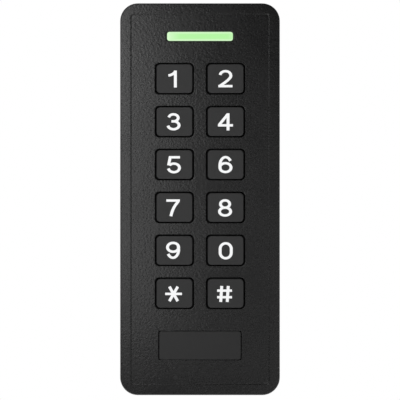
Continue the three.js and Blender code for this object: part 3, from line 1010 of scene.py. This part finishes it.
def build_rear_cover():
    """The flat cover, open round the terminals, the case screws and the tamper sensor."""
    outline_at = rectangle_at(cover.right - cover.left, cover.top - cover.bottom, 4, steps=10)
    window = rectangle_at(TERMINAL_WIDTH + 3, TERMINAL_HEIGHT + 3, 1, terminal_x, terminal_z, 5)
    screw_holes = [round_hole(PILOT_RADIUS, x, z, 20) for x, z in case_screws]
    sensor_x, sensor_z = middle(span("tamper_sensor"))
    sensor_hole = rectangle_at(4.8, 4.8, 2.39, sensor_x, sensor_z, 7)
    holes = [window, *screw_holes, sensor_hole]
    return plate("cover_moulding", outline_at, holes, cover.back, COVER_FRONT, 0.25)


def build_cover_pad(number, x, z):
    """A pad on the cover that carries the board."""
    profile = [(BOARD_PAD_RADIUS, COVER_FRONT), (BOARD_PAD_RADIUS, cover.front)]
    return solid(f"cover_pad_{number}", circle_at(x, z, 24), profile)


def build_terminal_block():
    """A screw terminal: countersunk wells in its back, wire entries along its top."""
    shell = Shell()
    outline_at = rectangle_at(TERMINAL_WIDTH, TERMINAL_HEIGHT, 0.5, terminal_x, terminal_z, 3)
    back_rim, front_rim = shell.sleeve(outline_at, softened(terminal.back, terminal.front, 0.25))
    shell.fill(front_rim)
    wells = []
    for x, z in terminal_screws:
        rim, floor = shell.sleeve(
            circle_at(x, z, 24),
            [(1.65, terminal.back), (1.5, terminal.back + 0.15), (1.5, terminal.back + 1.4)],
        )
        wells.append(rim)
        shell.fill(floor)
    shell.fill(back_rim, *wells)
    body = shell.make("terminal_moulding")
    entries = [
        block(
            "wire_entry",
            (x - 1.2, x + 1.2),
            (terminal.back + 0.7, cover.back - 0.2),
            (terminal.top - 2.6, terminal.top + 1),
            0.1,
        )
        for x, _ in terminal_screws
    ]
    return combine(body, entries, "DIFFERENCE")


def build_terminal_screw(number, x, z):
    """A slotted clamp screw at the bottom of its well, each turned a little further."""
    limits = span(f"terminal_screw_{number}")
    head = solid(
        f"clamp_screw_{number}",
        circle_at(x, z, 24),
        [(1.0, limits.back), (1.2, limits.back + 0.15), (1.2, limits.front)],
    )
    tilt = math.radians(20 + 47 * number)
    slot = block("slot", (-2, 2), (limits.back - 1, limits.back + 0.4), (-0.25, 0.25), 0.02)
    slot.data.transform(
        Matrix.Translation((x * MM, 0, z * MM)) @ Matrix.Rotation(tilt, 4, "Y")
    )
    return combine(head, [slot], "DIFFERENCE")


def build_terminal_seal():
    """The soft ring between the terminal block and the rear cover."""
    ring_span = span("terminal_seal")
    width, height = ring_span.right - ring_span.left, ring_span.top - ring_span.bottom
    hole = rectangle_at(TERMINAL_WIDTH + 0.4, TERMINAL_HEIGHT + 0.4, 0.4, terminal_x, terminal_z, 4)
    outline_at = rectangle_at(width, height, 0.8, terminal_x, terminal_z, 4)
    return plate("seal_ring", outline_at, [hole], ring_span.back, ring_span.front, 0.2)


def build_security_screw():
    """A button-head screw seen from below, with a hexagon socket and a pin in it."""
    limits = span("security_screw")
    head, seat, tip = -limits.bottom, -limits.bottom - 1.3, -limits.top
    shell = Shell()
    edge = 0.35
    head_rim, tip_rim = shell.sleeve(
        circle_at(0, 0, 36),
        [
            *reversed(round_over(2.3 - edge, head - edge, edge, 0, 90)),
            (2.3, seat),
            (1.1, seat),
            (1.1, tip + 0.4),
            (0.7, tip),
        ],
    )
    shell.fill(tip_rim)
    socket_rim, socket_floor = shell.sleeve(
        lambda radius: circle(radius, sides=6), [(1.3, head), (1.2, head - 0.1), (1.2, head - 0.8)]
    )
    shell.fill(head_rim, socket_rim)
    pin_foot, pin_top = shell.sleeve(
        circle_at(0, 0, 16), [(0.4, head - 0.8), (0.4, head - 0.15), (0.3, head - 0.1)]
    )
    shell.fill(socket_floor, pin_foot)
    shell.fill(pin_top)
    return shell.make("locking_screw", upright(lock_depth))


place(build_mounting_plate(), ROOT, "mounting_plastic", "mounting_plate")
place(build_rear_cover(), ROOT, "inner_plastic", "rear_cover")
pad_places = [(x, z) for x in (-18, 18) for z in (-24, 24)]
for number, (x, z) in enumerate(pad_places, 1):
    place(build_cover_pad(number, x, z), ROOT, "inner_plastic")
place(build_terminal_block(), ROOT, "terminal", "terminal_block")
for number, (x, z) in enumerate(terminal_screws, 1):
    screw = build_terminal_screw(number, x, z)
    place(screw, ROOT, "screw_steel", f"terminal_screw_{number}")
place(build_terminal_seal(), ROOT, "silicone", "terminal_seal")
place(build_security_screw(), ROOT, "screw_steel", "security_screw")


# ---------------------------------------------------------------- CAD nodes that stay

replaced = {name for piece in bpy.data.objects for name in piece.get("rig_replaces", [])}
slots = {row["node"]: row["material_slot"] for row in frame["record"]["subparts"]}
for name, node in frame["nodes"].items():
    if name not in replaced:
        for holder in node.material_slots:
            holder.material = materials[slots[name]]


# ---------------------------------------------------------------- stage, light and camera

def soft_light(name, location, target, size, power):
    """A white soft box turned towards a target, in metres and watts."""
    lamp = bpy.data.lights.new(name, "AREA")
    lamp.shape = "RECTANGLE"
    lamp.size, lamp.size_y = size
    lamp.energy = power
    box = bpy.data.objects.new(name, lamp)
    box.location = location
    away = Vector(location) - Vector(target)
    box.rotation_euler = away.to_track_quat("Z", "Y").to_euler()
    box.visible_camera = False
    bpy.context.scene.collection.objects.link(box)


def build_floor():
    """A pale floor well below the reader, which hangs on its wall plate."""
    half = 2.0
    depth_below = 0.45
    mesh = bpy.data.meshes.new("pale_floor")
    corners = [(-half, -half), (half, -half), (half, half), (-half, half)]
    mesh.from_pydata([(x, y, -depth_below) for x, y in corners], [], [(0, 1, 2, 3)])
    floor = bpy.data.objects.new("pale_floor", mesh)
    bpy.context.scene.collection.objects.link(floor)
    material, nodes, links, shader = new_material("pale_floor")
    speckle = noise(nodes, links, 4, 3.0, 0.6)
    links.new(tinted(nodes, links, speckle, (0.86, 0.86, 0.86), (0.9, 0.9, 0.9)),
              shader.inputs["Base Color"])
    shader.inputs["Roughness"].default_value = 0.9
    floor.data.materials.append(glowing(material, (1, 1, 1), 0.1))


def build_world():
    """White behind the reader, and a dimmer even light from all round it."""
    world = bpy.data.worlds.new("studio")
    world.use_nodes = True
    nodes, links = world.node_tree.nodes, world.node_tree.links
    around = nodes["Background"]
    around.inputs["Color"].default_value = (1, 1, 1, 1)
    around.inputs["Strength"].default_value = 0.06
    behind = nodes.new("ShaderNodeBackground")
    behind.inputs["Color"].default_value = (1, 1, 1, 1)
    behind.inputs["Strength"].default_value = 1.0
    ray = nodes.new("ShaderNodeLightPath")
    bright = nodes.new("ShaderNodeMath")
    bright.operation = "MAXIMUM"
    links.new(ray.outputs["Is Camera Ray"], bright.inputs[0])
    links.new(ray.outputs["Is Diffuse Ray"], bright.inputs[1])
    mix = nodes.new("ShaderNodeMixShader")
    links.new(bright.outputs["Value"], mix.inputs["Fac"])
    links.new(around.outputs["Background"], mix.inputs[1])
    links.new(behind.outputs["Background"], mix.inputs[2])
    links.new(mix.outputs["Shader"], nodes["World Output"].inputs["Surface"])
    bpy.context.scene.world = world


def build_camera():
    """Straight in front, far enough away that no side wall shows."""
    distance = 1.2
    view_width = 126.75 * MM
    view_middle = -0.25 * MM
    camera = bpy.data.cameras.new("front_camera")
    camera.sensor_width = 36
    camera.lens = camera.sensor_width * distance / view_width
    camera.clip_start = 0.05
    camera.clip_end = 20
    holder = bpy.data.objects.new("front_camera", camera)
    holder.location = (0, -FACE * MM - distance, view_middle)
    holder.rotation_euler = (math.pi / 2, 0, 0)
    bpy.context.scene.collection.objects.link(holder)
    bpy.context.scene.camera = holder


build_floor()
build_world()
build_camera()
reader_middle = (0, -0.02, 0)
soft_light("key_light", (-0.05, -0.2, 0.075), (-0.015, -0.02, 0.035), (0.04, 0.07), 0.031)
soft_light("low_key_light", (-0.035, -0.2, 0.002), (-0.01, -0.02, 0), (0.04, 0.11), 0.032)
soft_light("fill_light", (0.09, -0.24, -0.043), (0.027, -0.02, -0.02), (0.14, 0.14), 0.027)
for side, name in ((-1, "left"), (1, "right")):
    soft_light(f"{name}_side_light", (side * 0.55, -0.25, 0.1), reader_middle, (0.3, 0.5), 0.6)
    soft_light(f"{name}_back_light", (side * 0.5, 1.0, 0.15), reader_middle, (0.9, 0.9), 2.5)
soft_light("top_light", (0, 0.1, 0.9), reader_middle, (1.2, 1.2), 4)

scene = bpy.context.scene
scene.view_settings.view_transform = "Standard"
scene.view_settings.look = "None"
